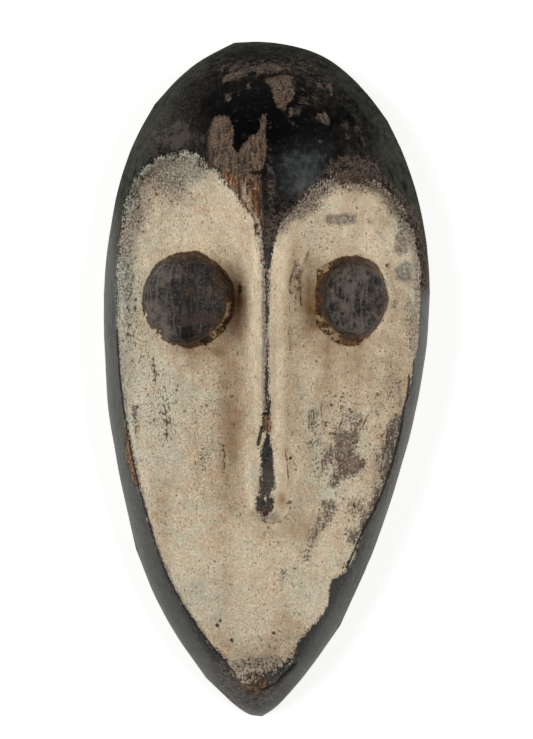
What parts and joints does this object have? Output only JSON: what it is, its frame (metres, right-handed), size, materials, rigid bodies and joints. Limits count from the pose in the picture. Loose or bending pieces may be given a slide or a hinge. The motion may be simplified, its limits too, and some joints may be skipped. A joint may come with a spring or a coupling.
{
  "type": "miniature mask",
  "caption": "Small carved wooden mask with an egg-shaped outline, a domed dark forehead, a whitened heart-shaped face, round stub eyes and a long thin nose, hollow behind.",
  "frame": {"origin": "under the middle of the outline, in the plane of the back rim that the mask lies on", "axes": "+Z out of the face, +Y from the chin to the crown, +X to the viewer's right"},
  "size_m": [0.0964, 0.2, 0.0465],
  "materials": {
    "carved_wood": "pale hardwood, blackened and polished on the forehead and side walls, with worn, dusty white earth paint on the face and bare wood where either has rubbed off"
  },
  "bodies": {
    "root": {"mask": "carved_wood"}
  },
  "joints": []
}
